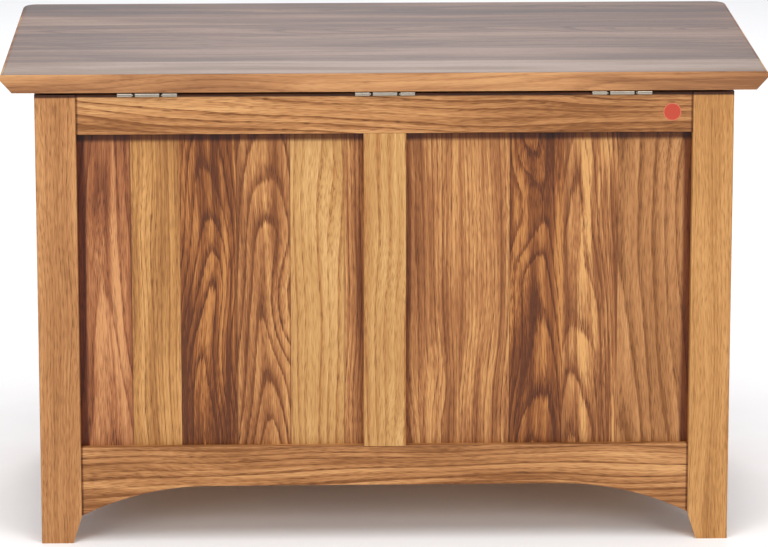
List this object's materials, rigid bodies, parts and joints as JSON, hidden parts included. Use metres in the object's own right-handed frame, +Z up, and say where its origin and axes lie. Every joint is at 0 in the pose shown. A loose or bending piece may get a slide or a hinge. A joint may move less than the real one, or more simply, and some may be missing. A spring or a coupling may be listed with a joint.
{
  "type": "wooden chest",
  "caption": "Frame-and-panel wooden storage chest on four legs, with a lid hinged at the back and held open by slotted stays.",
  "frame": {"origin": "on the floor, under the middle of the lid", "axes": "+X to the right as seen from the front, +Y to the back where the hinges are, +Z up"},
  "size_m": [0.9, 0.5, 0.57],
  "materials": {
    "oak_frame": "satin lacquered oak",
    "oak_panel": "satin lacquered oak, boards of mixed tone",
    "oak_lid": "satin lacquered oak",
    "oak_inside": "planed oak",
    "hinge_steel": "brushed nickel plate",
    "stay_steel": "nickel plate",
    "screw_steel": "nickel plate",
    "bumper_pad": "matt",
    "sticker_paper": "matt printed paper"
  },
  "bodies": {
    "chest": {"back_bottom_rail": "oak_frame", "back_cleat": "oak_inside", "back_muntin": "oak_frame", "back_panel_left": "oak_panel", "back_panel_right": "oak_panel", "back_top_rail": "oak_frame", "base_board_1": "oak_inside", "base_board_2": "oak_inside", "base_board_3": "oak_inside", "base_board_4": "oak_inside", "base_board_5": "oak_inside", "base_board_6": "oak_inside", "cleat_screws": "screw_steel", "front_bottom_rail": "oak_frame", "front_cleat": "oak_inside", "front_muntin": "oak_frame", "front_panel_left": "oak_panel", "front_panel_right": "oak_panel", "front_top_rail": "oak_frame", "hinge_left_pin": "hinge_steel", "hinge_left_rail_leaf": "hinge_steel", "hinge_middle_pin": "hinge_steel", "hinge_middle_rail_leaf": "hinge_steel", "hinge_rail_screws": "screw_steel", "hinge_right_pin": "hinge_steel", "hinge_right_rail_leaf": "hinge_steel", "inspection_sticker": "sticker_paper", "left_bottom_rail": "oak_frame", "left_cleat": "oak_inside", "left_panel": "oak_panel", "left_top_rail": "oak_frame", "leg_back_left": "oak_frame", "leg_back_right": "oak_frame", "leg_front_left": "oak_frame", "leg_front_right": "oak_frame", "right_bottom_rail": "oak_frame", "right_cleat": "oak_inside", "right_panel": "oak_panel", "right_top_rail": "oak_frame", "stay_left_stud": "stay_steel", "stay_right_stud": "stay_steel", "stay_stud_screws": "screw_steel"},
    "lid": {"batten_screws": "screw_steel", "hinge_left_lid_leaf": "hinge_steel", "hinge_lid_screws": "screw_steel", "hinge_middle_lid_leaf": "hinge_steel", "hinge_right_lid_leaf": "hinge_steel", "lid_batten_left": "oak_inside", "lid_batten_right": "oak_inside", "lid_bumpers": "bumper_pad", "lid_panel": "oak_lid", "stay_bracket_screws": "screw_steel", "stay_left_bracket": "stay_steel", "stay_left_rivet": "stay_steel", "stay_right_bracket": "stay_steel", "stay_right_rivet": "stay_steel"},
    "stay_left": {"stay_left_arm": "stay_steel"},
    "stay_right": {"stay_right_arm": "stay_steel"}
  },
  "joints": [
    {"name": "lid_hinge", "type": "hinge", "parent": "chest", "child": "lid", "pos_m": [0, 0.24705, 0.5447], "axis": [-1, 0, 0], "range_deg": [0, 100]},
    {"name": "stay_left_pivot", "type": "hinge", "parent": "lid", "child": "stay_left", "pos_m": [-0.376, 0.08228, 0.536], "axis": [-1, 0, 0], "range_deg": [-50, 0]},
    {"name": "stay_right_pivot", "type": "hinge", "parent": "lid", "child": "stay_right", "pos_m": [0.376, 0.08228, 0.536], "axis": [-1, 0, 0], "range_deg": [-50, 0]}
  ],
  "couplings": [
    {"joint": "stay_left_pivot", "follows": "lid_hinge", "ratio": -0.5},
    {"joint": "stay_right_pivot", "follows": "lid_hinge", "ratio": -0.5}
  ]
}
